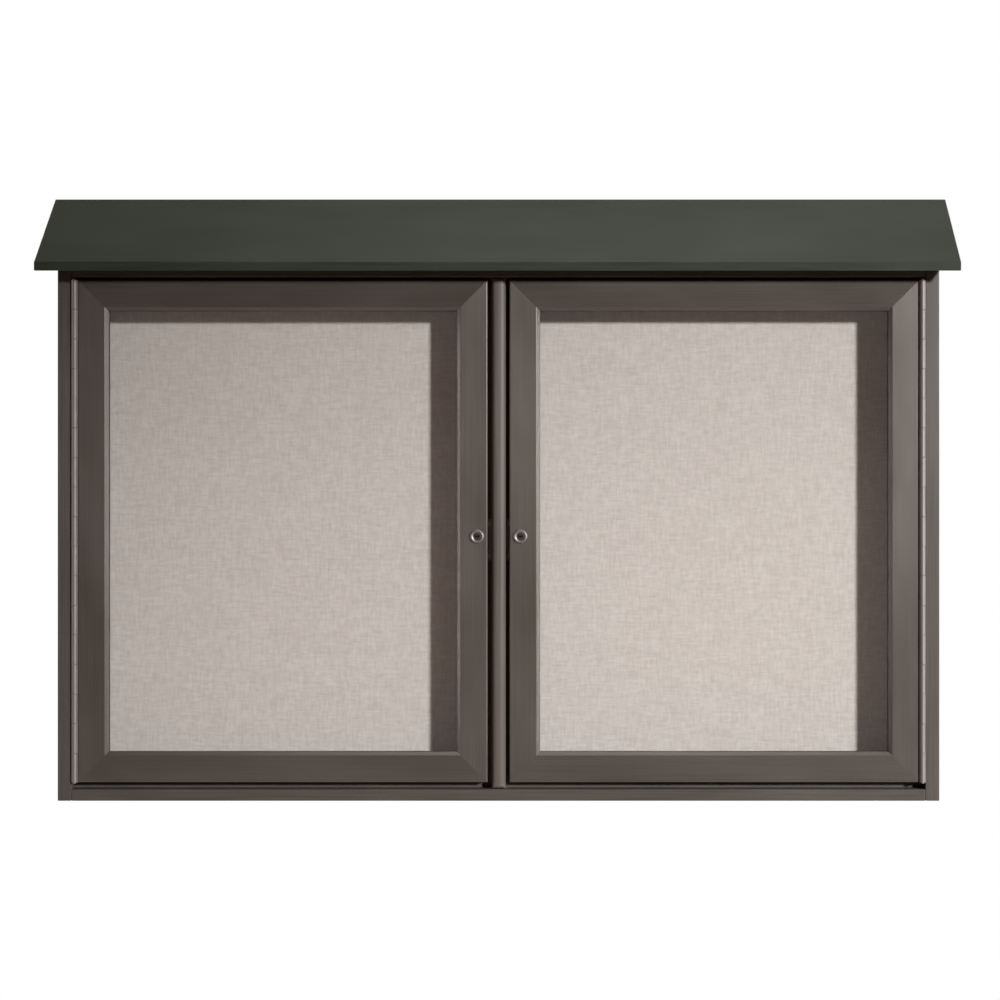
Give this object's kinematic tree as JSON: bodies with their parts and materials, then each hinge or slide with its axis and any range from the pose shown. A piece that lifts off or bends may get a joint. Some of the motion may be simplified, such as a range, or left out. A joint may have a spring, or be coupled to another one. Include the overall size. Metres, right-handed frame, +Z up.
{
  "type": "notice board",
  "caption": "Wide outdoor notice board: shallow case under a sloped overhanging roof, two side-hinged framed window doors with round locks, fabric pin boards behind.",
  "frame": {"origin": "middle of the four wall-bolt holes, in the plane of the back", "axes": "+X to the right of someone facing the doors, +Y into the wall, +Z up"},
  "size_m": [1.581, 0.15, 1.0542],
  "materials": {
    "plastic_lumber": "dark bronze-brown recycled plastic lumber, satin",
    "roof_lumber": "dark green-brown recycled plastic sheet, satin",
    "bronze_aluminium": "bronze anodised extrusion, fine lengthwise brushing",
    "mill_aluminium": "mill finish",
    "hinge_steel": "satin stainless",
    "lock_chrome": "bright chrome",
    "zinc_steel": "zinc plated",
    "acrylic": "clear acrylic sheet",
    "black_rubber": "black, matte",
    "woven_fabric": "pale grey-beige plain weave",
    "fibreboard": "raw fibreboard"
  },
  "bodies": {
    "case": {"left_side_board": "plastic_lumber", "right_side_board": "plastic_lumber", "top_rail": "plastic_lumber", "bottom_rail": "plastic_lumber", "header_board": "plastic_lumber", "center_mullion": "plastic_lumber", "back_panel": "plastic_lumber", "top_hanging_rail": "plastic_lumber", "bottom_hanging_rail": "plastic_lumber", "case_screws": "zinc_steel", "roof_panel": "roof_lumber", "roof_rib": "plastic_lumber", "roof_back_rail": "plastic_lumber", "roof_cleats": "plastic_lumber", "roof_screws": "zinc_steel", "left_tackboard": "fibreboard", "right_tackboard": "fibreboard", "left_tackboard_fabric": "woven_fabric", "right_tackboard_fabric": "woven_fabric", "tackboard_screws": "zinc_steel", "left_door_stops": "plastic_lumber", "right_door_stops": "plastic_lumber", "left_strike_plate": "hinge_steel", "right_strike_plate": "hinge_steel", "strike_screws": "zinc_steel", "left_hinge_case_leaf": "hinge_steel", "right_hinge_case_leaf": "hinge_steel", "hinge_pins": "hinge_steel", "hinge_case_screws": "hinge_steel"},
    "left_door": {"left_door_hinge_stile": "bronze_aluminium", "left_door_lock_stile": "bronze_aluminium", "left_door_top_rail": "bronze_aluminium", "left_door_bottom_rail": "bronze_aluminium", "left_corner_keys": "mill_aluminium", "left_window_pane": "acrylic", "left_glazing_gasket": "black_rubber", "left_door_seal": "black_rubber", "left_hinge_door_leaf": "hinge_steel", "left_hinge_door_screws": "hinge_steel", "left_lock_barrel": "lock_chrome", "left_lock_nut": "zinc_steel"},
    "right_door": {"right_door_hinge_stile": "bronze_aluminium", "right_door_lock_stile": "bronze_aluminium", "right_door_top_rail": "bronze_aluminium", "right_door_bottom_rail": "bronze_aluminium", "right_corner_keys": "mill_aluminium", "right_window_pane": "acrylic", "right_glazing_gasket": "black_rubber", "right_door_seal": "black_rubber", "right_hinge_door_leaf": "hinge_steel", "right_hinge_door_screws": "hinge_steel", "right_lock_barrel": "lock_chrome", "right_lock_nut": "zinc_steel"},
    "left_lock": {"left_lock_plug": "lock_chrome", "left_lock_cam": "zinc_steel", "left_cam_screw": "zinc_steel"},
    "right_lock": {"right_lock_plug": "lock_chrome", "right_lock_cam": "zinc_steel", "right_cam_screw": "zinc_steel"}
  },
  "joints": [
    {"name": "left_door_hinge", "type": "hinge", "parent": "case", "child": "left_door", "pos_m": [-0.7325, -0.102, 0], "axis": [0, 0, -1], "range_deg": [0, 170]},
    {"name": "right_door_hinge", "type": "hinge", "parent": "case", "child": "right_door", "pos_m": [0.7325, -0.102, 0], "axis": [0, 0, 1], "range_deg": [0, 170]},
    {"name": "left_lock_turn", "type": "hinge", "parent": "left_door", "child": "left_lock", "pos_m": [-0.0375, -0.1, -0.0055], "axis": [0, -1, 0], "range_deg": [0, 90]},
    {"name": "right_lock_turn", "type": "hinge", "parent": "right_door", "child": "right_lock", "pos_m": [0.0375, -0.1, -0.0055], "axis": [0, 1, 0], "range_deg": [0, 90]}
  ]
}
